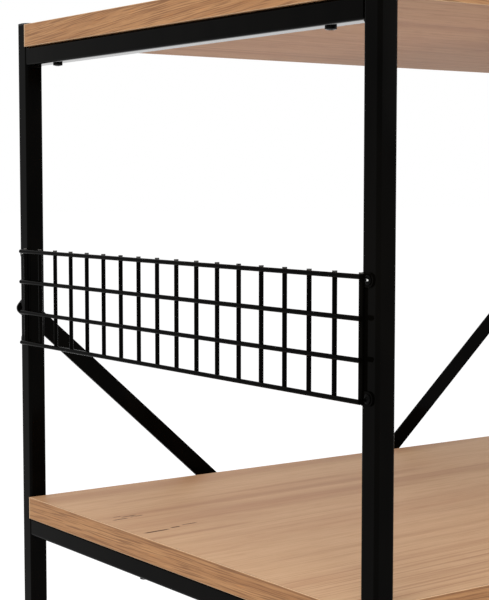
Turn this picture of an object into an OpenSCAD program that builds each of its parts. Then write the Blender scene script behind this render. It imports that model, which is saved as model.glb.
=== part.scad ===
/* [Overall] */
// Width of the frame over the outer faces of the left and right posts
frame_w = 600; // [400:1:1200]
// Depth of the frame over the front and rear faces of the posts
frame_d = 450; // [300:1:650]
// Height of the lower board's top above the desk
lower_level = 390; // [300:1:600]
// Clear height between the lower board and the upper board
bay_h = 370; // [260:1:600]

/* [Square tube] */
// Side of the square tube of the posts and end rails
tube = 15; // [14:0.5:25]
// Wall of the square tube
wall = 1.2; // [0.8:0.1:2]
// Radius of the tube's inside corners
tube_inner_r = 1.2; // [0.4:0.1:1.8]

/* [Boards] */
// Thickness of each board
board_t = 18; // [15:1:28]
// How far each board stands out past the posts' outer faces
board_overhang = 2; // [0:0.5:20]
// Thickness of the edging strips
edging_t = 1; // [0.4:0.1:3]
// Clearance between a board and the posts in front of it and behind it
board_gap = 0.5; // [0.2:0.1:3]

/* [Wire grid] */
// Diameter of the grid's wires
wire_d = 3.2; // [2:0.1:5]
// Spacing of the level wires, and the nearest spacing of the upright wires
mesh_pitch = 25; // [15:1:40]
// Number of cells from the grid's top to its bottom
grid_rows = 3; // [1:1:6]
// Height of the top level wire above the lower board
grid_top = 204; // [170:1:240]
// How far crossing wires sink into each other where they are welded
weld_sink = 0.3; // [0.1:0.05:0.6]
// How far the level wires run past the axes of the end upright wires
wire_overhang = 3; // [2:0.5:6]
// How far the upright wires stand above the top level wire
wire_stub = 0.8; // [0:0.1:3]
// Distance from each end upright wire to the inner edge of its post
wire_edge_gap = 0.3; // [0:0.1:2]
// Height of the tabs that fasten the grid to the posts
tab_h = 9; // [8:0.5:14]
// Thickness of the tabs
tab_t = 1.2; // [0.8:0.1:1.5]
// Distance of the tabs' screws inside the top and bottom level wires
tab_inset = 2; // [0:0.5:7]

/* [Cross brace] */
// Width of the flat bars
bar_w = 15; // [12:0.5:25]
// Thickness of the flat bars
bar_t = 2; // [1:0.5:4]
// Distance from a bar's end hole to its end
bar_tail = 9; // [7:0.5:20]
// Radius of the corners at the bars' ends
bar_corner_r = 5; // [1:0.5:6]
// Height of the bars' upper holes above the lower board
brace_top = 155.5; // [60:0.5:250]
// Height of the bars' lower holes above the desk
brace_bottom = 30; // [25:1:150]

/* [Board screws] */
// Distance of the upper board's screws from the front and rear faces of the frame
upper_screw_inset = 54; // [30:1:190]
// Distance of the lower board's screws from the front and rear faces of the frame
lower_screw_inset = 180; // [30:1:190]
// Shank diameter of the board screws
board_screw_d = 4; // [3:0.5:5]
// How deep the board screws bite into the board
board_screw_bite = 12; // [8:0.5:14]
// Head diameter of the board screws
board_head_d = 7.5; // [7:0.5:12]
// Head height of the board screws
board_head_h = 2.6; // [1.5:0.1:4]

/* [Grid screws] */
// Shank diameter of the grid screws
grid_screw_d = 3.5; // [2.5:0.5:4]
// Length of the grid screws below their heads
grid_screw_l = 8; // [5:0.5:9]
// Head diameter of the grid screws
grid_head_d = 6; // [5.5:0.25:7]
// Head height of the grid screws
grid_head_h = 1.2; // [0.8:0.1:1.3]

/* [Brace screws, bolt and inserts] */
// Thread diameter of the brace screws and of the centre bolt
brace_screw_d = 5; // [4:0.5:6]
// Head diameter of the brace screws and of the centre bolt
brace_head_d = 9.5; // [8:0.5:12]
// Head height of the brace screws and of the centre bolt
brace_head_h = 2.8; // [1.5:0.1:4]
// Width across the corners of the centre nut
nut_corners = 9.2; // [8:0.1:12]
// Height of the centre nut
nut_h = 4; // [3:0.1:6]
// Body diameter of the threaded inserts
insert_d = 7; // [6.8:0.1:8]
// Length of the threaded inserts inside the tube's outer face
insert_l = 9.5; // [7:0.5:10.5]
// Diameter of the inserts' flange and of the bulge that grips the wall
insert_flange_d = 9.6; // [9:0.1:10]
// Thickness of the inserts' flange
insert_flange_t = 0.8; // [0.5:0.1:1.5]
// Length of the bulge that grips the wall
insert_bulge_l = 2.5; // [1.5:0.1:4]

/* [All screw heads] */
// Height of the shallow dome on top of each head
head_dome = 0.6; // [0.2:0.05:0.7]
// Width of the cross recess
recess_w = 1; // [0.6:0.1:1.4]
// Depth of the cross recess
recess_depth = 0.7; // [0.3:0.05:0.75]

/* [Caps and feet] */
// Height of the caps above the posts
cap_t = 2; // [1.5:0.1:5]
// Height of the feet below the posts
foot_t = 4; // [3:0.5:10]
// How much of the foot's height is the smaller pad that it stands on
pad_t = 1; // [0.5:0.1:2]
// How far the pad stands back from the foot's sides
pad_inset = 1; // [0.5:0.1:3]
// Length of the plug inside the tube
plug_l = 14; // [10:0.5:25]
// Wall of the plug
plug_wall = 1.4; // [1:0.1:2]
// Number of ribs round the plug
rib_count = 3; // [2:1:4]
// Thickness of each rib
rib_t = 1; // [0.6:0.1:1.4]
// How far the ribs stand out from the plug
rib_h = 0.9; // [0.4:0.1:1.2]

/* [Clearances] */
// Clearance round the plug's ribs, and round each screw and insert in its hole
fit_gap = 0.1; // [0.05:0.01:0.2]
// Clearance round a screw where it passes freely through a part
free_gap = 0.5; // [0.25:0.05:0.6]

/* [Hidden] */

$fn = 48;
// Facets of the shallow domes on caps and screw heads
dome_fn = 180;
LEFT = -1;
RIGHT = 1;
// Small extra length of cutting tools past the faces that they cut
cut = 1;
// Width of a self-tapping screw's point as a share of its shank
tip_share = 0.2;
// Radius of the caps' shallow domes as a multiple of the tube's side
cap_dome = 4;

METAL = [0.035, 0.035, 0.038];
BOARD = [0.80, 0.60, 0.42];
EDGING = [0.74, 0.52, 0.34];
PLASTIC = [0.05, 0.05, 0.05];
SCREW = [0.08, 0.08, 0.085];
ZINC = [0.62, 0.62, 0.60];

// Tube
tube_r = tube_inner_r + wall;
tube_hollow = tube - 2 * wall;
post_x = frame_w / 2 - tube / 2;
post_front_y = tube / 2;
post_rear_y = frame_d - tube / 2;
rail_l = frame_d - 2 * tube;

// Levels, from the desk up
lower_under = lower_level - board_t;
upper_under = lower_level + bay_h;
post_top = upper_under + board_t;
post_h = post_top - foot_t;

// Boards
board_l = frame_w + 2 * board_overhang;
board_d = frame_d - 2 * tube - 2 * board_gap;
board_front = tube + board_gap;
lower_screw_ys = [lower_screw_inset, frame_d - lower_screw_inset];
upper_screw_ys = [upper_screw_inset, frame_d - upper_screw_inset];
board_screw_l = tube + board_screw_bite;

// Wire grid: the upright wires touch the posts, the level wires lie outside them
end_wire_y = tube - wire_edge_gap - wire_d / 2;
grid_columns = round((frame_d - 2 * end_wire_y) / mesh_pitch);
column_pitch = (frame_d - 2 * end_wire_y) / grid_columns;
upright_x = wire_d / 2;
level_x = upright_x + wire_d - weld_sink;
grid_top_z = lower_level + grid_top;
grid_bottom_z = grid_top_z - grid_rows * mesh_pitch;
grid_screw_zs = [grid_bottom_z + tab_inset, grid_top_z - tab_inset];
grid_screw_ys = [post_front_y, post_rear_y];

// Cross brace
brace_high_z = lower_level + brace_top;
brace_run = 2 * post_x;
brace_rise = brace_high_z - brace_bottom;
brace_reach = sqrt(brace_run * brace_run + brace_rise * brace_rise);
brace_angle = atan2(brace_rise, brace_run);
brace_y = frame_d + insert_flange_t;
brace_mid_z = (brace_high_z + brace_bottom) / 2;
brace_screw_l = bar_t + insert_flange_t + insert_l;
bolt_l = 2 * bar_t + nut_h;

// The origin is on the desk, below the middle of the whole
y_mid = (brace_y + 2 * bar_t + brace_head_h) / 2;

module in_frame() {
    translate([0, -y_mid, 0]) children();
}

// Square with round corners, centred
module round_square(side, r) {
    square([side, side - 2 * r], center = true);
    square([side - 2 * r, side], center = true);
    for (x = [-1, 1], y = [-1, 1])
        translate([x * (side / 2 - r), y * (side / 2 - r)]) circle(r = r);
}

// Square tube of length l, standing on its end
module square_tube(l) {
    linear_extrude(height = l)
        difference() {
            round_square(tube, tube_r);
            round_square(tube_hollow, tube_inner_r);
        }
}

// Low domed head that sits on z = 0 with its cross recess on top
module domed_head(d, h) {
    dome_r = (d * d / 4 + head_dome * head_dome) / (2 * head_dome);
    recess_l = d / 2;
    difference() {
        intersection() {
            cylinder(h = h + cut, d = d);
            translate([0, 0, h - dome_r]) sphere(r = dome_r, $fn = dome_fn);
        }
        for (turn = [0, 90])
            rotate([0, 0, turn])
                translate([-recess_l / 2, -recess_w / 2, h - recess_depth])
                    cube([recess_l, recess_w, recess_depth + cut]);
        translate([0, 0, -2 * dome_r]) cylinder(h = 2 * dome_r, d = 2 * d);
    }
}

// Screw with its head above z = 0 and its shank below; a tip makes it self-tapping
module screw(d, l, head_d, head_h, tip = 0) {
    domed_head(head_d, head_h);
    translate([0, 0, -(l - tip)]) cylinder(h = l - tip, d = d);
    if (tip > 0)
        translate([0, 0, -l]) cylinder(h = tip, d1 = tip_share * d, d2 = d);
}

// Post with holes for the grid's screws in its outer wall and, at the rear, for the brace's inserts
module post(side, y, rear) {
    color(METAL) in_frame()
        difference() {
            translate([side * post_x, y, foot_t]) square_tube(post_h);
            for (z = grid_screw_zs)
                translate([side * (frame_w / 2 - wall - cut), y, z])
                    rotate([0, side * 90, 0])
                        cylinder(h = wall + 2 * cut, d = grid_screw_d + 2 * fit_gap);
            if (rear)
                for (z = [brace_bottom, brace_high_z])
                    translate([side * post_x, frame_d - wall - cut, z])
                        rotate([-90, 0, 0])
                            cylinder(h = wall + 2 * cut, d = insert_d + 2 * fit_gap);
        }
}

// End rail below a board, between the front and rear posts, drilled for the board screws
module end_rail(side, under, screw_ys) {
    color(METAL) in_frame()
        difference() {
            translate([side * post_x, tube, under - tube / 2])
                rotate([-90, 0, 0]) square_tube(rail_l);
            for (y = screw_ys)
                translate([side * post_x, y, under - tube - cut])
                    cylinder(h = tube + 2 * cut, d = board_screw_d + 2 * free_gap);
        }
}

// Board core with the pilot holes of its screws
module board(under, screw_ys) {
    color(BOARD) in_frame()
        difference() {
            translate([-board_l / 2 + edging_t, board_front + edging_t, under])
                cube([board_l - 2 * edging_t, board_d - 2 * edging_t, board_t]);
            for (side = [LEFT, RIGHT], y = screw_ys)
                translate([side * post_x, y, under - cut])
                    cylinder(h = board_screw_bite + 2 * cut, d = board_screw_d + 2 * fit_gap);
        }
}

// Edging strips: two full-length ones on the long edges, two between them on the ends
module edging(under) {
    color(EDGING) in_frame() {
        for (y = [board_front, board_front + board_d - edging_t])
            translate([-board_l / 2, y, under]) cube([board_l, edging_t, board_t]);
        for (x = [-board_l / 2, board_l / 2 - edging_t])
            translate([x, board_front + edging_t, under])
                cube([edging_t, board_d - 2 * edging_t, board_t]);
    }
}

// Screws that come up through the end rails into a board
module board_screws(under, screw_ys) {
    color(SCREW) in_frame()
        for (side = [LEFT, RIGHT], y = screw_ys)
            translate([side * post_x, y, under - tube])
                rotate([180, 0, 0])
                    screw(board_screw_d, board_screw_l, board_head_d, board_head_h, board_screw_d);
}

// Tab from an end wire to the screw on the post, against the post's outer face
module grid_tab(wire_y, screw_y) {
    toward = wire_y > screw_y ? 1 : -1;
    rotate([0, 90, 0])
        linear_extrude(height = tab_t)
            difference() {
                union() {
                    translate([0, screw_y]) circle(d = tab_h);
                    translate([-tab_h / 2, min(screw_y, wire_y)])
                        square([tab_h, abs(wire_y - screw_y)]);
                }
                translate([0, screw_y]) circle(d = grid_screw_d + 2 * fit_gap);
            }
}

// Welded wire panel for the right end, lying against x = 0
module grid_panel() {
    upright_h = grid_rows * mesh_pitch + wire_d + wire_stub;
    for (i = [0 : grid_columns])
        translate([upright_x, end_wire_y + i * column_pitch, grid_bottom_z - wire_d / 2])
            cylinder(h = upright_h, d = wire_d);
    for (j = [0 : grid_rows])
        translate([level_x, end_wire_y - wire_overhang, grid_bottom_z + j * mesh_pitch])
            rotate([-90, 0, 0])
                cylinder(h = frame_d - 2 * end_wire_y + 2 * wire_overhang, d = wire_d);
    for (z = grid_screw_zs)
        translate([0, 0, z]) {
            grid_tab(end_wire_y, post_front_y);
            grid_tab(frame_d - end_wire_y, post_rear_y);
        }
}

module wire_grid(side) {
    color(METAL) in_frame()
        translate([side * frame_w / 2, 0, 0])
            mirror([side == LEFT ? 1 : 0, 0, 0])
                union() grid_panel();
}

// Screws that hold a grid's tabs to the posts
module grid_screws(side) {
    color(SCREW) in_frame()
        for (y = grid_screw_ys, z = grid_screw_zs)
            translate([side * (frame_w / 2 + tab_t), y, z])
                rotate([0, side * 90, 0])
                    screw(grid_screw_d, grid_screw_l, grid_head_d, grid_head_h, grid_screw_d / 2);
}

// Face of a flat bar in its own length and width, with its end holes and centre hole
module bar_face() {
    bar_l = brace_reach + 2 * bar_tail;
    difference() {
        union() {
            square([bar_l, bar_w - 2 * bar_corner_r], center = true);
            square([bar_l - 2 * bar_corner_r, bar_w], center = true);
            for (x = [-1, 1], y = [-1, 1])
                translate([x * (bar_l / 2 - bar_corner_r), y * (bar_w / 2 - bar_corner_r)])
                    circle(r = bar_corner_r);
        }
        for (x = [-brace_reach / 2, 0, brace_reach / 2])
            translate([x, 0]) circle(d = brace_screw_d + 2 * free_gap);
    }
}

// Flat bar that lies straight across the rear posts
module straight_bar() {
    translate([0, bar_t, 0])
        rotate([90, 0, 0])
            linear_extrude(height = bar_t) bar_face();
}

// Flat bar that lies on the rear posts at its ends and is sprung over the other bar at its middle
module sprung_bar() {
    tip = brace_reach / 2 + bar_tail;
    seat = brace_reach / 2 - tube;
    lap = bar_w;
    intersection() {
        translate([0, 3 * bar_t, 0])
            rotate([90, 0, 0])
                linear_extrude(height = 4 * bar_t) bar_face();
        translate([0, 0, -bar_w])
            linear_extrude(height = 2 * bar_w)
                polygon([
                    [-tip, 0], [-seat, 0], [-lap, bar_t], [lap, bar_t], [seat, 0], [tip, 0],
                    [tip, bar_t], [seat, bar_t], [lap, 2 * bar_t],
                    [-lap, 2 * bar_t], [-seat, bar_t], [-tip, bar_t]
                ]);
    }
}

// Bar from the upper left to the lower right, next to the posts
module brace_bar_inner() {
    color(METAL) in_frame()
        translate([0, brace_y, brace_mid_z])
            rotate([0, brace_angle, 0]) straight_bar();
}

// Bar from the lower left to the upper right, over the inner bar
module brace_bar_outer() {
    color(METAL) in_frame()
        translate([0, brace_y, brace_mid_z])
            rotate([0, -brace_angle, 0]) sprung_bar();
}

// Places its child at the four ends of the brace, with +Z pointing back
module at_brace_ends(y) {
    for (side = [LEFT, RIGHT], z = [brace_bottom, brace_high_z])
        translate([side * post_x, y, z])
            rotate([-90, 0, 0]) children();
}

module brace_screws() {
    color(SCREW) in_frame()
        at_brace_ends(brace_y + bar_t)
            screw(brace_screw_d, brace_screw_l, brace_head_d, brace_head_h);
}

// Threaded inserts, set in the posts' rear walls and gripping them from both sides
module brace_inserts() {
    color(ZINC) in_frame()
        at_brace_ends(frame_d)
            difference() {
                union() {
                    cylinder(h = insert_flange_t, d = insert_flange_d);
                    translate([0, 0, -insert_l]) cylinder(h = insert_l, d = insert_d);
                    translate([0, 0, -wall - insert_bulge_l])
                        cylinder(h = insert_bulge_l, d = insert_flange_d);
                }
                translate([0, 0, -insert_l - cut])
                    cylinder(h = insert_l + insert_flange_t + 2 * cut, d = brace_screw_d + 2 * fit_gap);
            }
}

module brace_centre_bolt() {
    color(SCREW) in_frame()
        translate([0, brace_y + 2 * bar_t, brace_mid_z])
            rotate([-90, 0, 0])
                screw(brace_screw_d, bolt_l, brace_head_d, brace_head_h);
}

module brace_centre_nut() {
    color(SCREW) in_frame()
        translate([0, brace_y, brace_mid_z])
            rotate([90, 0, 0])
                difference() {
                    cylinder(h = nut_h, d = nut_corners, $fn = 6);
                    translate([0, 0, -cut])
                        cylinder(h = nut_h + 2 * cut, d = brace_screw_d + 2 * fit_gap);
                }
}

// Ribbed plug that hangs below z = 0 inside the tube, open at its lower end
module plug() {
    rib_side = tube_hollow - 2 * fit_gap;
    plug_side = rib_side - 2 * rib_h;
    rib_pitch = plug_l / (rib_count + 1);
    difference() {
        union() {
            translate([0, 0, -plug_l])
                linear_extrude(height = plug_l) square(plug_side, center = true);
            for (i = [1 : rib_count])
                translate([0, 0, -i * rib_pitch - rib_t / 2])
                    linear_extrude(height = rib_t) round_square(rib_side, tube_inner_r);
        }
        translate([0, 0, -plug_l - cut])
            linear_extrude(height = plug_l) square(plug_side - 2 * plug_wall, center = true);
    }
}

// Cap that closes a post's top, with a slightly domed face
module cap(side, y) {
    dome_r = cap_dome * tube;
    color(PLASTIC) in_frame()
        translate([side * post_x, y, post_top]) {
            intersection() {
                linear_extrude(height = cap_t + cut) round_square(tube, tube_r);
                translate([0, 0, cap_t - dome_r]) sphere(r = dome_r, $fn = dome_fn);
            }
            plug();
        }
}

// Foot that closes a post's bottom and stands on a slightly smaller pad
module foot(side, y) {
    color(PLASTIC) in_frame()
        translate([side * post_x, y, foot_t])
            mirror([0, 0, 1]) {
                linear_extrude(height = foot_t - pad_t) round_square(tube, tube_r);
                linear_extrude(height = foot_t)
                    round_square(tube - 2 * pad_inset, tube_r);
                plug();
            }
}

post(LEFT, post_front_y, false);  // post_front_left
post(RIGHT, post_front_y, false);  // post_front_right
post(LEFT, post_rear_y, true);  // post_rear_left
post(RIGHT, post_rear_y, true);  // post_rear_right
end_rail(LEFT, lower_under, lower_screw_ys);  // lower_rail_left
end_rail(RIGHT, lower_under, lower_screw_ys);  // lower_rail_right
end_rail(LEFT, upper_under, upper_screw_ys);  // upper_rail_left
end_rail(RIGHT, upper_under, upper_screw_ys);  // upper_rail_right
board(lower_under, lower_screw_ys);  // lower_board
edging(lower_under);  // lower_board_edging
board(upper_under, upper_screw_ys);  // upper_board
edging(upper_under);  // upper_board_edging
board_screws(lower_under, lower_screw_ys);  // lower_board_screws
board_screws(upper_under, upper_screw_ys);  // upper_board_screws
wire_grid(LEFT);  // wire_grid_left
wire_grid(RIGHT);  // wire_grid_right
grid_screws(LEFT);  // grid_screws_left
grid_screws(RIGHT);  // grid_screws_right
brace_bar_inner();
brace_bar_outer();
brace_screws();
brace_inserts();
brace_centre_bolt();
brace_centre_nut();
cap(LEFT, post_front_y);  // cap_front_left
cap(RIGHT, post_front_y);  // cap_front_right
cap(LEFT, post_rear_y);  // cap_rear_left
cap(RIGHT, post_rear_y);  // cap_rear_right
foot(LEFT, post_front_y);  // foot_front_left
foot(RIGHT, post_front_y);  // foot_front_right
foot(LEFT, post_rear_y);  // foot_rear_left
foot(RIGHT, post_rear_y);  // foot_rear_right
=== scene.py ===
import math
import random

import bmesh
import bpy
from mathutils import Matrix, Vector

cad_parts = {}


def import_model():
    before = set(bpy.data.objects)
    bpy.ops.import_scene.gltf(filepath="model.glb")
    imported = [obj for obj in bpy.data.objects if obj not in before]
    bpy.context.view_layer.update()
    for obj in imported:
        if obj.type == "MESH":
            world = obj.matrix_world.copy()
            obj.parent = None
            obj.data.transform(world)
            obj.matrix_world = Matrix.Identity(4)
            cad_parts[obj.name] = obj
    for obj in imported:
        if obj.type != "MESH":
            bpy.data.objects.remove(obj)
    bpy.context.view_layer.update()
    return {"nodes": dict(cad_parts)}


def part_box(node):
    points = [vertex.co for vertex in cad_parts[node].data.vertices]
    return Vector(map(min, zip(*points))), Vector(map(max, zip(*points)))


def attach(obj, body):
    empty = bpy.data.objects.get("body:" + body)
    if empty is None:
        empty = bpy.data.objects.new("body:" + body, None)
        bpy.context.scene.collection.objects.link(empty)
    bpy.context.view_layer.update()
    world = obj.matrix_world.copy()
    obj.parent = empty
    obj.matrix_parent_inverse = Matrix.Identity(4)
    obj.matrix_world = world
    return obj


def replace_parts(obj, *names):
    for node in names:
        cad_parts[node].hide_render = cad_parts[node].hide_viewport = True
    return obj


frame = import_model()

MM = 0.001
BODY = "root"


# ---------------------------------------------------------------- shader helpers


def new_material(name):
    """A material with its Principled shader, ready for more nodes."""
    mat = bpy.data.materials.new(name)
    mat.use_nodes = True
    tree = mat.node_tree
    shader = tree.nodes["Principled BSDF"]
    return mat, tree, shader


def put(tree, kind, settings, inputs):
    """Adds a node. An input that is a socket is linked, any other one is set on the node's own socket."""
    node = tree.nodes.new(kind)
    for key, value in settings.items():
        setattr(node, key, value)
    for key, value in inputs.items():
        if isinstance(value, bpy.types.NodeSocket):
            tree.links.new(value, node.inputs[key])
        else:
            node.inputs[key].default_value = value
    return node


def maths(tree, operation, a, b=0.0, c=0.0):
    return put(tree, "ShaderNodeMath", {"operation": operation}, {0: a, 1: b, 2: c}).outputs[0]


def times(tree, a, b):
    return maths(tree, "MULTIPLY", a, b)


def minus(tree, a, b):
    return maths(tree, "SUBTRACT", a, b)


def larger(tree, a, b):
    return maths(tree, "MAXIMUM", a, b)


def apart(tree, a, b):
    """How far two values are from each other."""
    return maths(tree, "ABSOLUTE", minus(tree, a, b))


def ramp(tree, value, slope, start):
    """Rises in a straight line from start, by slope for each unit of the value."""
    return maths(tree, "MULTIPLY_ADD", value, slope, start)


def vector(tree, x, y, z):
    return put(tree, "ShaderNodeCombineXYZ", {}, {"X": x, "Y": y, "Z": z}).outputs[0]


def noise(tree, at, detail=2.0, roughness=0.5, rate=1.0):
    """Noise from 0 to 1, with about rate waves in each unit of the place that it is read at."""
    inputs = {"Vector": at, "Scale": rate, "Detail": detail, "Roughness": roughness, "Distortion": 0.0}
    return put(tree, "ShaderNodeTexNoise", {}, inputs).outputs["Fac"]


def steps(tree, value, low, high):
    """0 at low, 1 at high, and smooth between them. Where low is above high, it falls instead."""
    inputs = {"Value": value, "From Min": low, "From Max": high}
    return put(tree, "ShaderNodeMapRange", {"interpolation_type": "SMOOTHSTEP"}, inputs).outputs["Result"]


def blend(tree, amount, a, b, how="MIX"):
    """Colour a, with amount of colour b over it."""
    settings = {"data_type": "RGBA", "blend_type": how}
    return put(tree, "ShaderNodeMix", settings, {0: amount, 6: a, 7: b}).outputs[2]


def place(tree):
    """The point on the surface in metres, as one socket."""
    return tree.nodes.new("ShaderNodeTexCoord").outputs["Object"]


def axes(tree):
    """The same point as three sockets."""
    return put(tree, "ShaderNodeSeparateXYZ", {}, {"Vector": place(tree)}).outputs


def paint(tree, shader, colour):
    tree.links.new(colour, shader.inputs["Base Color"])


def roughen(tree, shader, value, base, spread):
    """Roughness from base, where the value is 0, to base + spread, where it is 1."""
    tree.links.new(ramp(tree, value, spread, base), shader.inputs["Roughness"])


def bump(tree, shader, height, depth_mm, strength):
    inputs = {"Height": height, "Distance": depth_mm * MM, "Strength": strength}
    node = put(tree, "ShaderNodeBump", {}, inputs)
    tree.links.new(node.outputs["Normal"], shader.inputs["Normal"])


def seen_straight(tree):
    """1 for what the camera, a reflection or glass sees, and 0 for what only lights other things."""
    path = tree.nodes.new("ShaderNodeLightPath").outputs
    seen = larger(tree, path["Is Camera Ray"], path["Is Glossy Ray"])
    return larger(tree, seen, path["Is Transmission Ray"])


# ---------------------------------------------------------------- layers of a print

# A layer is a tuple: its noise's waves for each metre along the grain and across it, the slice of the noise
# that it is cut from, the noise's detail and roughness, the values between which its tone rises, and the
# depth of that tone


def layer_noise(tree, layer, along, across):
    along_rate, across_rate, cut, detail, roughness = layer[:5]
    at = vector(tree, times(tree, along, along_rate), times(tree, across, across_rate), cut)
    return noise(tree, at, detail, roughness)


def layer_tone(tree, layer, value, strength=1.0):
    """How much the layer prints where its noise has this value."""
    low, high, depth = layer[5:]
    return times(tree, steps(tree, value, low, high), depth * strength)


# ---------------------------------------------------------------- boards

# Colours, linear
TAN = (0.640, 0.405, 0.219, 1.0)
PINK = (0.520, 0.283, 0.140, 1.0)
STREAK = (0.365, 0.155, 0.062, 1.0)
CRACK = (0.050, 0.022, 0.012, 1.0)

# The two boards' sheets differ a little: tint left and right of the turn, and strength of the figure. The
# upper board's darker right tint is painted shade, deeper under the shelf
LOWER_SHEET = ((0.985, 0.975, 0.985, 1.0), (0.975, 0.970, 0.970, 1.0), 1.0)
UPPER_SHEET_AND_SHADE = ((1.0, 0.885, 0.822, 1.0), (0.765, 0.650, 0.555, 1.0), 3.3)
# Where the tint and the painted shade turn, from and to, in millimetres from the middle
TINT_AND_SHADE_TURN_MM = (-110, 50)

CLOUDS = (1.6, 24.0, 3.1, 3.0, 0.5, 0.46, 0.74, 0.70)
WISPS = (4.5, 150.0, 7.7, 3.0, 0.6, 0.50, 0.82, 0.24)
LINES = (3.6, 520.0, 1.9, 1.0, 0.5, 0.50, 0.66, 1.0)
HAIRS = (9.0, 560.0, 4.6, 2.0, 0.6, 0.48, 0.64, 0.15)
FLECKS = (42.0, 210.0, 6.4, 2.0, 0.6, 0.50, 0.72, 0.13)
FIBRES = (26.0, 900.0, 5.3, 3.0, 0.65, 0.44, 0.72, 0.26)
# The ripple's tone is its plain noise times a depth, so its layer stops after the noise's roughness
RIPPLE = (240.0, 60.0, 8.8, 1.0, 0.5)
RIPPLE_DEPTH = 0.10
# How far the grain leans to the back for each metre along the board
GRAIN_LEAN = 0.045
# How far the grain wanders from side to side, and its waves for each metre along and across
GRAIN_WANDER_MM = 7.0
GRAIN_WAVES = (2.2, 7.0)
# The growth lines draw together and darken towards the front: where that starts and ends, in millimetres
# from the front edge, and the lines' depth far from it and what is added close to it
LINES_NEAR_MM = (190, 20)
LINES_DEPTH = (0.04, 0.48)

# Streaks and cracks are placed from the front left corner, or from the back right one on a mirrored board.
# Streaks, in millimetres: distance from the front edge, half width, where along the board they start and
# end, and last their depth of tone
STREAKS = (
    (412, 8, -450, 1000, 0.50),
    (394, 26, -450, 1000, 0.95),
    (382, 5, -60, 150, 0.55),
    (352, 6, 30, 120, 0.60),
    (330, 7, 50, 300, 0.60),
    (309, 12, -60, 420, 1.00),
    (290, 5, 120, 700, 0.90),
    (281, 20, -50, 700, 0.90),
    (266, 10, -50, 380, 0.60),
    (232, 6, -80, 110, 1.00),
    (226, 3, 40, 250, 0.45),
    (205, 6, -50, 300, 0.30),
    (176, 12, -50, 700, 0.45),
    (150, 5, 60, 700, 0.40),
    (128, 7, -50, 500, 0.45),
    (108, 5, 100, 700, 0.45),
    (81, 8, -50, 700, 0.55),
    (50, 4, 80, 700, 1.00),
    (34, 9, -50, 700, 0.70),
    (285, 75, -120, 150, 0.55),
)
STREAKS_DEPTH = 0.56
# A streak comes and goes along the board: waves for each metre, the step from one streak's noise to the
# next one's, its slice, its detail, and the values between which the streak fades in
STREAK_LIFE = (4.0, 11.3, 2.0, 1.0, 0.18, 0.52)

# Cracks, in millimetres: distance from the left end, distance from the front edge, half length, half width
CRACKS = (
    (17, 300.5, 8, 1.3),
    (28, 305.5, 8, 1.3),
    (33, 302.0, 7, 1.1),
    (18, 251.0, 13, 2.0),
    (37, 253.5, 5, 1.7),
    (52, 256.0, 8, 1.2),
    (19, 309.0, 4, 1.0),
)
CRACKS_DEPTH = 0.95
# What breaks a crack up along its length, as a layer
CRACK_RAG = (190.0, 900.0, 4.4, 2.0, 0.6, 0.28, 0.42, 1.0)
# How far a crack bends to either side, and the bends' noise: waves for each metre along, and its slice
CRACK_BEND_MM = 0.8
CRACK_BENDS = (45.0, 0.7, 0.2)
# Share of a crack's half width, and of its half length, that is fully dark
CRACK_CORE = (0.2, 0.6)

# Specular level of the matt sheet, and what a crack takes from it
SHEET_GLOSS = 0.25
CRACK_LOSS = 0.24


def streak_tone(tree, along, across):
    """Depth of the broad streaks, each fading in and out along the board."""
    rate, next_slice, cut, detail, low, high = STREAK_LIFE
    tone = 0.0
    for i, (at, half, start, end, depth) in enumerate(STREAKS):
        reach = (end - start) / 2 * MM
        aside = apart(tree, across, at * MM)
        beyond = apart(tree, along, (start + end) / 2 * MM)
        life = noise(tree, vector(tree, times(tree, along, rate), next_slice * i, cut), detail)
        here = times(tree, steps(tree, aside, half * MM, 0.0), steps(tree, life, low, high))
        here = times(tree, here, steps(tree, beyond, reach, 0.5 * reach))
        tone = larger(tree, times(tree, here, depth), tone)
    return tone


def crack_tone(tree, along, across):
    """Short dark cracks, ragged along their length."""
    rag = layer_noise(tree, CRACK_RAG, along, across)
    rate, slice_y, slice_z = CRACK_BENDS
    bend = noise(tree, vector(tree, times(tree, along, rate), slice_y, slice_z))
    thread = maths(tree, "ADD", across, ramp(tree, bend, 2 * CRACK_BEND_MM * MM, -CRACK_BEND_MM * MM))
    wide_core, long_core = CRACK_CORE
    tone = 0.0
    for x, y, length, half in CRACKS:
        aside = apart(tree, thread, y * MM)
        beyond = apart(tree, along, x * MM)
        here = times(tree, steps(tree, aside, half * MM, wide_core * half * MM),
                     steps(tree, beyond, length * MM, long_core * length * MM))
        tone = larger(tree, here, tone)
    return times(tree, tone, layer_tone(tree, CRACK_RAG, rag))


def grain_axes(tree, board, mirrored):
    """Metres along the board and across its grain. A mirrored board counts from the opposite corner."""
    x, y, z = axes(tree)
    low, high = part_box(board)
    along = minus(tree, high.x, x) if mirrored else minus(tree, x, low.x)
    depth = minus(tree, high.y, y) if mirrored else minus(tree, y, low.y)
    lean = ramp(tree, along, -GRAIN_LEAN, depth)
    along_rate, across_rate = GRAIN_WAVES
    drift = noise(tree, vector(tree, times(tree, along, along_rate), times(tree, lean, across_rate), z))
    wander = GRAIN_WANDER_MM * MM
    return along, ramp(tree, drift, wander, minus(tree, lean, wander / 2))


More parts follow.
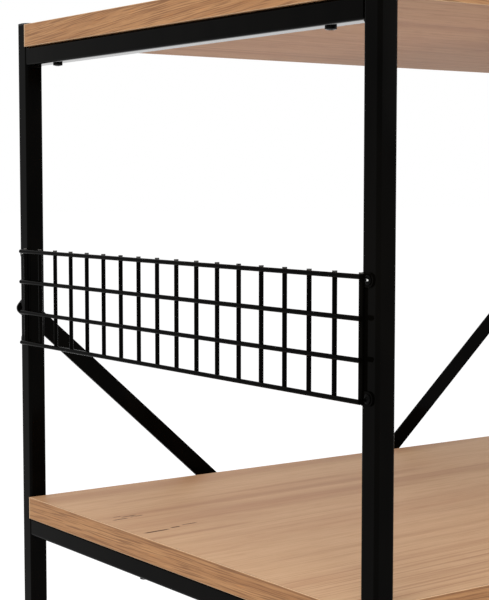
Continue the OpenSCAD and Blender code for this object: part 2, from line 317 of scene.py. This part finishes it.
def printed_colour(tree, along, across, fibres, figure):
    """The print's colour before its cracks, from the broadest layer to the finest."""
    clouds = layer_noise(tree, CLOUDS, along, across)
    wisps = layer_noise(tree, WISPS, along, across)
    lines = layer_noise(tree, LINES, along, across)
    flecks = layer_noise(tree, FLECKS, along, across)
    hairs = layer_noise(tree, HAIRS, along, across)
    ripple = layer_noise(tree, RIPPLE, along, across)
    near = steps(tree, across, LINES_NEAR_MM[0] * MM, LINES_NEAR_MM[1] * MM)
    lines_depth = ramp(tree, near, LINES_DEPTH[1], LINES_DEPTH[0])
    colour = blend(tree, layer_tone(tree, CLOUDS, clouds), TAN, PINK)
    for tone in (layer_tone(tree, WISPS, wisps, figure),
                 times(tree, streak_tone(tree, along, across), STREAKS_DEPTH),
                 times(tree, layer_tone(tree, LINES, lines), lines_depth),
                 layer_tone(tree, FLECKS, flecks, figure),
                 layer_tone(tree, HAIRS, hairs),
                 layer_tone(tree, FIBRES, fibres)):
        colour = blend(tree, tone, colour, STREAK)
    return blend(tree, times(tree, ripple, RIPPLE_DEPTH), colour, PINK)


def board_material(name, board, mirrored, sheet):
    """Matt melamine with a printed wood face, its grain along X. A mirrored board shows another cut of it."""
    mat, tree, shader = new_material(name)
    left_tint, right_tint_and_shade, figure = sheet
    along, across = grain_axes(tree, board, mirrored)
    fibres = layer_noise(tree, FIBRES, along, across)
    cracks = crack_tone(tree, along, across)
    colour = printed_colour(tree, along, across, fibres, figure)
    colour = blend(tree, times(tree, cracks, CRACKS_DEPTH), colour, CRACK)
    # The tint multiplies the print. On the upper board its right part is painted shade
    turned = steps(tree, axes(tree)[0], TINT_AND_SHADE_TURN_MM[0] * MM, TINT_AND_SHADE_TURN_MM[1] * MM)
    tint = blend(tree, turned, left_tint, right_tint_and_shade)
    paint(tree, shader, blend(tree, 1.0, colour, tint, "MULTIPLY"))
    roughen(tree, shader, fibres, base=0.46, spread=0.16)
    tree.links.new(ramp(tree, cracks, -CRACK_LOSS, SHEET_GLOSS), shader.inputs["Specular IOR Level"])
    height = ramp(tree, fibres, -0.6, times(tree, cracks, -1.0))
    bump(tree, shader, height, depth_mm=0.08, strength=0.5)
    return mat


# ---------------------------------------------------------------- edging strips

# Colours, linear
STRIP_LIGHT = (0.56, 0.288, 0.124, 1.0)
STRIP_MID = (0.42, 0.197, 0.080, 1.0)
STRIP_DARK = (0.225, 0.098, 0.040, 1.0)
STRIP_ORANGE = (0.62, 0.27, 0.09, 1.0)
# The strips' pale core, which is also a painted highlight where their edges are scraped round
STRIP_CORE_AND_HIGHLIGHT = (0.72, 0.49, 0.30, 1.0)

STRIP_BANDS = (6.0, 300.0, 2.2, 2.0, 0.5, 0.30, 0.72, 1.0)
STRIP_EMBERS = (40.0, 300.0, 9.9, 1.0, 0.5, 0.60, 0.75, 0.35)
STRIP_STREAKS = (22.0, 1150.0, 6.1, 1.0, 0.5, 0.50, 0.62, 0.72)
STRIP_FIBRES = (70.0, 2600.0, 4.7, 2.0, 0.6, 0.45, 0.70, 0.36)
CORE_SCRAPE = (320.0, 900.0, 0.0, 3.0, 0.6, 0.40, 0.80, 0.5)
# How much each board's strip print climbs along the strip
STRIP_SLOPE = {"lower_board": 0.018, "upper_board": 0.075}
# How far the print wanders up and down, and its waves for each metre along and across
STRIP_WANDER_MM = 3.5
STRIP_WAVES = (9.0, 60.0)
# Darker line near the strip's top: how far below it, half width, and depth of tone
STRIP_LINE_MM = 1.3
STRIP_LINE_HALF_MM = 0.9
STRIP_LINE_DEPTH = 0.7
# How far behind the board's middle the line is gone, and where it is whole
STRIP_LINE_FADE_MM = (160, 0)
# How far the strips are scraped round at their long outer edges, and in how many facets. The rounding shows
# the pale core, which is partly a painted highlight
SCRAPE_MM = 0.4
SCRAPE_FACETS = 3


def strip_line_tone(tree, board, y, z):
    """The darker line near the top of a board's strips, which fades out towards the back."""
    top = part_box(board)[1].z
    aside = apart(tree, z, top - STRIP_LINE_MM * MM)
    fade = steps(tree, y, STRIP_LINE_FADE_MM[0] * MM, STRIP_LINE_FADE_MM[1] * MM)
    line = times(tree, steps(tree, aside, STRIP_LINE_HALF_MM * MM, 0.0), fade)
    return times(tree, line, STRIP_LINE_DEPTH)


def edging_material(name, board, slope):
    """Printed edging strip: close streaks along it that lean a little, darker and warmer than the faces."""
    mat, tree, shader = new_material(name)
    x, y, z = axes(tree)
    along = maths(tree, "ADD", x, y)
    along_rate, across_rate = STRIP_WAVES
    drift = noise(tree, vector(tree, times(tree, along, along_rate), 0.0, times(tree, z, across_rate)))
    across = ramp(tree, drift, STRIP_WANDER_MM * MM, ramp(tree, along, slope, z))
    bands = layer_noise(tree, STRIP_BANDS, along, across)
    embers = layer_noise(tree, STRIP_EMBERS, along, across)
    streaks = layer_noise(tree, STRIP_STREAKS, along, across)
    fibres = layer_noise(tree, STRIP_FIBRES, along, across)
    colour = blend(tree, layer_tone(tree, STRIP_BANDS, bands), STRIP_LIGHT, STRIP_MID)
    colour = blend(tree, layer_tone(tree, STRIP_EMBERS, embers), colour, STRIP_ORANGE)
    colour = blend(tree, layer_tone(tree, STRIP_STREAKS, streaks), colour, STRIP_DARK)
    colour = blend(tree, layer_tone(tree, STRIP_FIBRES, fibres), colour, STRIP_DARK)
    colour = blend(tree, strip_line_tone(tree, board, y, z), colour, STRIP_DARK)
    paint(tree, shader, colour)
    roughen(tree, shader, fibres, base=0.46, spread=0.14)
    shader.inputs["Specular IOR Level"].default_value = SHEET_GLOSS
    height = ramp(tree, streaks, -1.0, times(tree, fibres, -0.6))
    bump(tree, shader, height, depth_mm=0.08, strength=0.5)
    return mat


def edging_core_and_highlight_material():
    """The strip's pale core, which shows where its edges are scraped and its ends cut. On the scraped
    rounding it is also a painted highlight.
    """
    mat, tree, shader = new_material("edging_core_and_highlight")
    x, y, z = axes(tree)
    scrape = layer_noise(tree, CORE_SCRAPE, maths(tree, "ADD", x, y), z)
    paint(tree, shader, blend(tree, layer_tone(tree, CORE_SCRAPE, scrape), STRIP_CORE_AND_HIGHLIGHT, STRIP_LIGHT))
    roughen(tree, shader, scrape, base=0.45, spread=0.2)
    shader.inputs["Specular IOR Level"].default_value = SHEET_GLOSS
    bump(tree, shader, scrape, depth_mm=0.04, strength=0.4)
    return mat


# ---------------------------------------------------------------- metal and plastic

# Powder coat colours, linear: clean, dusty, and bare where a wire was cut
COAT_DARK = (0.0008, 0.0007, 0.0005, 1.0)
COAT_DUSTY = (0.0024, 0.0020, 0.0015, 1.0)
CUT_WIRE = (0.16, 0.155, 0.145, 1.0)
# Specular levels of the coat. They are low because here gloss sees a white room, where the photograph's was
# dark at its sides. The rails' undersides mirror what is low and far off, which was pale there too
TUBE_GLOSS = 0.020
WIRE_GLOSS = 0.015
UNDERSIDE_GLOSS = 0.15
# Height above a rail's underside where that gloss has gone, and where it starts to go
UNDERSIDE_FADE_MM = (0.7, 0.2)
# Waves of the orange peel for each metre, and its strength, on tube and on wire
TUBE_PEEL = (650.0, 0.08)
WIRE_PEEL = (900.0, 0.04)
# The coat's clouds: waves for each metre along X, Y and Z, and the values between which they turn dusty
CLOUD_WAVES = (22.0, 22.0, 9.0)
CLOUD_STEPS = (0.35, 0.75)
# How far below the tips the cut's grey starts, and where it is complete
CUT_MM = (1.1, 0.5)
# The grey is patchy: waves for each metre, and the values between which it shows
PATCH_WAVES = 500.0
PATCH_STEPS = (0.25, 0.60)
# Just outside the grids' tabs, counted from the posts. Only wire further out than this has cut tips
TAB_REACH_MM = 1.3

# Screws: colours, linear, from the clean coat to the scuffed one and bare steel, then the coat's specular
# level and the noise's values between which it is scuffed
SCREW_DARK = (0.0016, 0.0015, 0.0014, 1.0)
SCREW_SCUFFED = (0.0050, 0.0048, 0.0045, 1.0)
# Bare steel: worn metal, and in the grids' top recesses also a painted glint
BARE_STEEL_GLINT = (0.80, 0.80, 0.78, 1.0)
SCREW_GLOSS = 0.03
SCUFF_STEPS = (0.45, 0.75)
# Head of a grid screw, across, and the distance from its middle where the bare steel and its painted glint
# end and are complete
GRID_HEAD_MM = 6.0
RECESS_MM = (1.1, 0.6)

# Zinc and plastic colours, linear, and the plastic's specular level
ZINC_DARK = (0.42, 0.42, 0.40, 1.0)
ZINC_LIGHT = (0.62, 0.62, 0.60, 1.0)
PLASTIC_DARK = (0.006, 0.006, 0.006, 1.0)
PLASTIC_LIGHT = (0.013, 0.013, 0.013, 1.0)
PLASTIC_GLOSS = 0.3


def powder_coat(tree, shader, peel):
    """Satin black powder coat: fine orange peel, faint dust and slightly uneven gloss. Returns its colour."""
    rate, strength = peel
    x, y, z = axes(tree)
    grain = noise(tree, place(tree), roughness=0.6, rate=rate)
    cloud_at = vector(tree, *(times(tree, axis, waves) for axis, waves in zip((x, y, z), CLOUD_WAVES)))
    cloud = noise(tree, cloud_at, detail=3.0, roughness=0.6)
    roughen(tree, shader, cloud, base=0.07, spread=0.06)
    bump(tree, shader, grain, depth_mm=0.03, strength=strength)
    return blend(tree, steps(tree, cloud, *CLOUD_STEPS), COAT_DARK, COAT_DUSTY)


def tube_material():
    mat, tree, shader = new_material("tube_coat")
    paint(tree, shader, powder_coat(tree, shader, TUBE_PEEL))
    shader.inputs["Specular IOR Level"].default_value = TUBE_GLOSS
    return mat


def rail_material():
    """The same coat on the end rails. Their undersides keep more gloss."""
    mat, tree, shader = new_material("rail_coat")
    paint(tree, shader, powder_coat(tree, shader, TUBE_PEEL))
    z = axes(tree)[2]
    gone, whole = UNDERSIDE_FADE_MM
    under = 0.0
    for rail in ("lower_rail_left", "upper_rail_left"):
        above = apart(tree, z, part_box(rail)[0].z)
        under = larger(tree, steps(tree, above, gone * MM, whole * MM), under)
    gloss = ramp(tree, under, UNDERSIDE_GLOSS - TUBE_GLOSS, TUBE_GLOSS)
    tree.links.new(gloss, shader.inputs["Specular IOR Level"])
    return mat


def wire_material():
    """The same coat on the grids, worn grey where the upright wires were cut."""
    mat, tree, shader = new_material("wire_coat")
    coat = powder_coat(tree, shader, WIRE_PEEL)
    x, _, z = axes(tree)
    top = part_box("wire_grid_left")[1].z
    tips = steps(tree, z, top - CUT_MM[0] * MM, top - CUT_MM[1] * MM)
    tabs_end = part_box("post_front_right")[1].x + TAB_REACH_MM * MM
    clear_of_tabs = maths(tree, "GREATER_THAN", maths(tree, "ABSOLUTE", x), tabs_end)
    patchy = steps(tree, noise(tree, place(tree), rate=PATCH_WAVES), *PATCH_STEPS)
    worn = times(tree, times(tree, tips, clear_of_tabs), patchy)
    paint(tree, shader, blend(tree, worn, coat, CUT_WIRE))
    shader.inputs["Specular IOR Level"].default_value = WIRE_GLOSS
    return mat


def recess_wear_and_glint(tree):
    """1 in the recesses of the grids' top screws, where the driver has worn the black off. The bare steel
    there is also a painted glint.
    """
    _, y, z = axes(tree)
    # the right grid's screws have the same Y and Z as the left one's
    low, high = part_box("grid_screws_left")
    head_r = GRID_HEAD_MM / 2 * MM
    up = minus(tree, z, high.z - head_r)
    bare_and_glint = 0.0
    for at in (low.y + head_r, high.y - head_r):
        aside = minus(tree, y, at)
        away = maths(tree, "SQRT", maths(tree, "ADD", times(tree, aside, aside), times(tree, up, up)))
        bare_and_glint = larger(tree, steps(tree, away, RECESS_MM[0] * MM, RECESS_MM[1] * MM), bare_and_glint)
    return bare_and_glint


def screw_material():
    """Black coated screws with faint scuffs, and bare recesses in the grids' top ones, which are partly a
    painted glint.
    """
    mat, tree, shader = new_material("black_screw")
    wear = noise(tree, place(tree), detail=3.0, roughness=0.6, rate=900.0)
    bare_and_glint = recess_wear_and_glint(tree)
    coat = blend(tree, steps(tree, wear, *SCUFF_STEPS), SCREW_DARK, SCREW_SCUFFED)
    paint(tree, shader, blend(tree, bare_and_glint, coat, BARE_STEEL_GLINT))
    tree.links.new(bare_and_glint, shader.inputs["Metallic"])
    roughen(tree, shader, wear, base=0.10, spread=0.10)
    shader.inputs["Specular IOR Level"].default_value = SCREW_GLOSS
    bump(tree, shader, wear, depth_mm=0.03, strength=0.3)
    return mat


def zinc_material():
    """Zinc plate with a fine spangle."""
    mat, tree, shader = new_material("zinc_plate")
    spangle = noise(tree, place(tree), rate=1200.0)
    paint(tree, shader, blend(tree, spangle, ZINC_DARK, ZINC_LIGHT))
    roughen(tree, shader, spangle, base=0.25, spread=0.2)
    shader.inputs["Metallic"].default_value = 1.0
    bump(tree, shader, spangle, depth_mm=0.02, strength=0.3)
    return mat


def plastic_material():
    """Matt black moulded plastic with a fine spark-eroded texture."""
    mat, tree, shader = new_material("black_plastic")
    grain = noise(tree, place(tree), roughness=0.7, rate=2600.0)
    paint(tree, shader, blend(tree, grain, PLASTIC_DARK, PLASTIC_LIGHT))
    roughen(tree, shader, grain, base=0.5, spread=0.2)
    shader.inputs["Specular IOR Level"].default_value = PLASTIC_GLOSS
    bump(tree, shader, grain, depth_mm=0.05, strength=0.5)
    return mat


# ---------------------------------------------------------------- dressing the CAD nodes


def dress(names, mat):
    for name in names:
        materials = frame["nodes"][name].data.materials
        materials.clear()
        materials.append(mat)


def dress_nodes(tube):
    names = list(frame["nodes"])
    dress([n for n in names if n.startswith(("post_", "brace_bar"))], tube)
    dress([n for n in names if "_rail_" in n], rail_material())
    dress([n for n in names if n.startswith("wire_grid")], wire_material())
    dress(["lower_board"], board_material("lower_board_melamine", "lower_board", False, LOWER_SHEET))
    dress(["upper_board"], board_material("upper_board_melamine", "upper_board", True, UPPER_SHEET_AND_SHADE))
    dress([n for n in names if "screws" in n or n.startswith("brace_centre")], screw_material())
    dress(["brace_inserts"], zinc_material())
    dress([n for n in names if n.startswith(("cap_", "foot_"))], plastic_material())


# ---------------------------------------------------------------- pieces made here

# Two heights closer than this, in metres, are the same
SAME_HEIGHT = 1e-6

# Weld beads, in millimetres: leg, and the distance kept from the tube's rounded corners
BEAD_LEG_MM = 2.0
BEAD_INSET_MM = 1.6
# Steps along a bead and round it, and the seed of its unevenness
BEAD_RINGS = 24
BEAD_SIDES = 5
WELD_SEED = 5
# Share of the swelling's half wave that is cut off at each end, and the power that makes it fuller
BEAD_TAPER = 0.12
BEAD_FULLNESS = 0.4
# Ripple's share of the leg, its turn from ring to ring in radians, and random unevenness as a share
BEAD_RIPPLE = 0.10
BEAD_RIPPLE_TURN = 2.1
BEAD_UNEVEN = 0.05
# Between a flat fillet, 0, and one that bulges out to a quarter circle, 1
BEAD_BULGE = 0.35


def piece(name, shape, materials):
    """An object made from a bmesh, riding on the frame."""
    mesh = bpy.data.meshes.new(name)
    shape.to_mesh(mesh)
    shape.free()
    for mat in materials:
        mesh.materials.append(mat)
    obj = bpy.data.objects.new(name, mesh)
    bpy.context.collection.objects.link(obj)
    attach(obj, BODY)
    return obj


def strip(shape, low, high, outward, pale_ends):
    """One edging strip. Its long outer edges are scraped round, and the pale core shows there and at cut
    ends, on the rounding partly as a painted highlight.
    """
    size = Matrix.Diagonal(high - low).to_4x4()
    made = bmesh.ops.create_cube(shape, size=1.0, matrix=Matrix.Translation((low + high) / 2) @ size)
    faces = {face for vert in made["verts"] for face in vert.link_faces}
    if pale_ends:
        for face in faces:
            # the cut ends face along the strip: not outward or inward, and not up or down
            if abs(face.normal.dot(outward)) < 0.5 and abs(face.normal.z) < 0.5:
                face.material_index = 1
    outer = [face for face in faces if face.normal.dot(outward) > 0.5][0]
    long_edges = [e for e in outer.edges if abs(e.verts[0].co.z - e.verts[1].co.z) < SAME_HEIGHT]
    bmesh.ops.bevel(shape, geom=long_edges, offset=SCRAPE_MM * MM, segments=SCRAPE_FACETS, profile=0.5,
                    affect="EDGES", material=1)


def edging_strips(board, edging, core_and_highlight):
    """The four strips round a board. Front and back strips cover the ends of the other two."""
    node = board + "_edging"
    inner_low, inner_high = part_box(board)
    low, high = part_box(node)
    shape = bmesh.new()
    for side, edge_low, edge_high in ((-1, low.y, inner_low.y), (1, inner_high.y, high.y)):
        strip(shape, Vector((low.x, edge_low, low.z)), Vector((high.x, edge_high, high.z)),
              Vector((0, side, 0)), True)
    for side, edge_low, edge_high in ((-1, low.x, inner_low.x), (1, inner_high.x, high.x)):
        strip(shape, Vector((edge_low, inner_low.y, low.z)), Vector((edge_high, inner_high.y, high.z)),
              Vector((side, 0, 0)), False)
    dress([node], edging)
    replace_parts(piece(node + "_strips", shape, [edging, core_and_highlight]), node)


def bead_ring(shape, at, leg, legs):
    """One cross section of a bead: the corner that it fills, then points over its outer face."""
    ring = [shape.verts.new(at)]
    for j in range(BEAD_SIDES + 1):
        turn = math.pi / 2 * j / BEAD_SIDES
        flat = 1.0 / (math.cos(turn) + math.sin(turn))
        reach = leg * (BEAD_BULGE + (1.0 - BEAD_BULGE) * flat)
        ring.append(shape.verts.new(at + reach * (math.cos(turn) * legs[0] + math.sin(turn) * legs[1])))
    return ring


def bead(shape, corner, run, legs, rng):
    """One weld bead along a joint: a rippled fillet from corner along run, filling between its two legs."""
    rings = []
    for i in range(BEAD_RINGS + 1):
        t = i / BEAD_RINGS
        swell = math.sin(math.pi * (BEAD_TAPER + (1.0 - 2 * BEAD_TAPER) * t)) ** BEAD_FULLNESS
        ripple = BEAD_RIPPLE * math.cos(i * BEAD_RIPPLE_TURN) + rng.uniform(-BEAD_UNEVEN, BEAD_UNEVEN)
        rings.append(bead_ring(shape, corner + run * t, BEAD_LEG_MM * MM * swell * (1.0 + ripple), legs))
    for first, second in zip(rings, rings[1:]):
        for j in range(len(first)):
            k = (j + 1) % len(first)
            shape.faces.new((first[j], first[k], second[k], second[j]))
    shape.faces.new(rings[0])
    shape.faces.new(tuple(reversed(rings[-1])))


def weld_beads(mat):
    """Beads where the end rails meet the posts, under each rail and on its inner face."""
    rng = random.Random(WELD_SEED)
    shape = bmesh.new()
    inset = BEAD_INSET_MM * MM
    for level in ("lower", "upper"):
        for side, inward in (("left", 1), ("right", -1)):
            low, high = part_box(level + "_rail_" + side)
            inner_x = high.x if inward > 0 else low.x
            for y, toward in ((low.y, 1), (high.y, -1)):
                along = Vector((0, toward, 0))
                bead(shape, Vector((low.x + inset, y, low.z)), Vector((high.x - low.x - 2 * inset, 0, 0)),
                     (along, Vector((0, 0, -1))), rng)
                bead(shape, Vector((inner_x, y, low.z + inset)), Vector((0, 0, high.z - low.z - 2 * inset)),
                     (along, Vector((inward, 0, 0))), rng)
    bmesh.ops.recalc_face_normals(shape, faces=shape.faces)
    for face in shape.faces:
        face.smooth = True
    piece("weld_beads", shape, [mat])


# ---------------------------------------------------------------- stage

# Camera: where it stands in millimetres, and which way it looks in degrees
CAMERA_AT_MM = (-890.9, -908.1, 648.6)
CAMERA_YAW = 34.958
CAMERA_PITCH = -4.538
CAMERA_ROLL = -0.072
# The photograph's frame, its focal length and the middle of its perspective, in its own pixels
FRAME_PX = (489, 600)
FOCAL_PX = 1526.1
CENTRE_PX = (216.28, 305.44)
SENSOR_MM = 36.0
# Nearest and farthest distance that the camera sees, in metres
CAMERA_REACH = (0.01, 100.0)

# Floor: half its side in metres, its colour, linear, and its roughness
FLOOR_REACH = 30.0
FLOOR_COLOUR = (0.62, 0.62, 0.62, 1.0)
FLOOR_ROUGHNESS = 0.9
WHITE = (1.0, 1.0, 1.0, 1.0)
# Strength of the room's light, and the white added where the camera or a reflection sees the floor
ROOM_LIGHT = 0.70
FLOOR_LIFT = 0.60
# Soft lamps: name, place in metres, side in metres, power in watts. They face one point
LAMPS = (("key", (-1.6, -1.2, 2.4), 1.6, 34.0), ("fill", (2.0, -1.6, 1.6), 1.8, 12.0))
LIT_POINT = (0.0, 0.0, 0.45)


def camera():
    yaw, pitch, roll = (math.radians(a) for a in (CAMERA_YAW, CAMERA_PITCH, CAMERA_ROLL))
    ahead = Vector((math.sin(yaw) * math.cos(pitch), math.cos(yaw) * math.cos(pitch), math.sin(pitch)))
    level = Vector((math.cos(yaw), -math.sin(yaw), 0.0))
    above = level.cross(ahead)
    right = math.cos(roll) * level + math.sin(roll) * above
    up = -math.sin(roll) * level + math.cos(roll) * above
    data = bpy.data.cameras.new("camera")
    data.sensor_width = SENSOR_MM
    long_side = max(FRAME_PX)
    data.lens = FOCAL_PX / long_side * SENSOR_MM
    data.shift_x = (FRAME_PX[0] / 2 - CENTRE_PX[0]) / long_side
    data.shift_y = (CENTRE_PX[1] - FRAME_PX[1] / 2) / long_side
    data.clip_start, data.clip_end = CAMERA_REACH
    obj = bpy.data.objects.new("camera", data)
    bpy.context.collection.objects.link(obj)
    turn = Matrix((right, up, -ahead)).transposed().to_4x4()
    obj.matrix_world = Matrix.Translation(Vector(CAMERA_AT_MM) * MM) @ turn
    bpy.context.scene.camera = obj


def floor_material():
    """Pale and matt, and lifted to white where it is seen."""
    mat, tree, shader = new_material("floor_pale")
    shader.inputs["Base Color"].default_value = FLOOR_COLOUR
    shader.inputs["Roughness"].default_value = FLOOR_ROUGHNESS
    shader.inputs["Specular IOR Level"].default_value = 0.0
    strength = times(tree, seen_straight(tree), FLOOR_LIFT)
    lift = put(tree, "ShaderNodeEmission", {}, {"Color": WHITE, "Strength": strength})
    total = put(tree, "ShaderNodeAddShader", {}, {0: shader.outputs[0], 1: lift.outputs[0]})
    tree.links.new(total.outputs[0], tree.nodes["Material Output"].inputs["Surface"])
    return mat


def floor():
    mesh = bpy.data.meshes.new("floor")
    corners = [(x * FLOOR_REACH, y * FLOOR_REACH, 0) for x, y in ((-1, -1), (1, -1), (1, 1), (-1, 1))]
    mesh.from_pydata(corners, [], [(0, 1, 2, 3)])
    mesh.materials.append(floor_material())
    obj = bpy.data.objects.new("floor", mesh)
    bpy.context.collection.objects.link(obj)


def world():
    """Soft white room light. The camera, gloss and glass see plain white."""
    scene_world = bpy.data.worlds.new("world")
    bpy.context.scene.world = scene_world
    scene_world.use_nodes = True
    tree = scene_world.node_tree
    back = tree.nodes["Background"]
    back.inputs["Color"].default_value = WHITE
    strength = ramp(tree, seen_straight(tree), 1.0 - ROOM_LIGHT, ROOM_LIGHT)
    tree.links.new(strength, back.inputs["Strength"])


def lamps():
    for name, at, side, power in LAMPS:
        data = bpy.data.lights.new(name, "AREA")
        data.shape = "RECTANGLE"
        data.size = side
        data.size_y = side
        data.energy = power
        obj = bpy.data.objects.new(name, data)
        bpy.context.collection.objects.link(obj)
        obj.location = at
        obj.rotation_euler = (Vector(LIT_POINT) - Vector(at)).to_track_quat("-Z", "Y").to_euler()


def main():
    bpy.context.scene.view_settings.view_transform = "Standard"
    camera()
    tube = tube_material()
    dress_nodes(tube)
    core_and_highlight = edging_core_and_highlight_material()
    for board, slope in STRIP_SLOPE.items():
        edging = edging_material(board + "_edging_strip", board, slope)
        edging_strips(board, edging, core_and_highlight)
    weld_beads(tube)
    floor()
    world()
    lamps()


main()
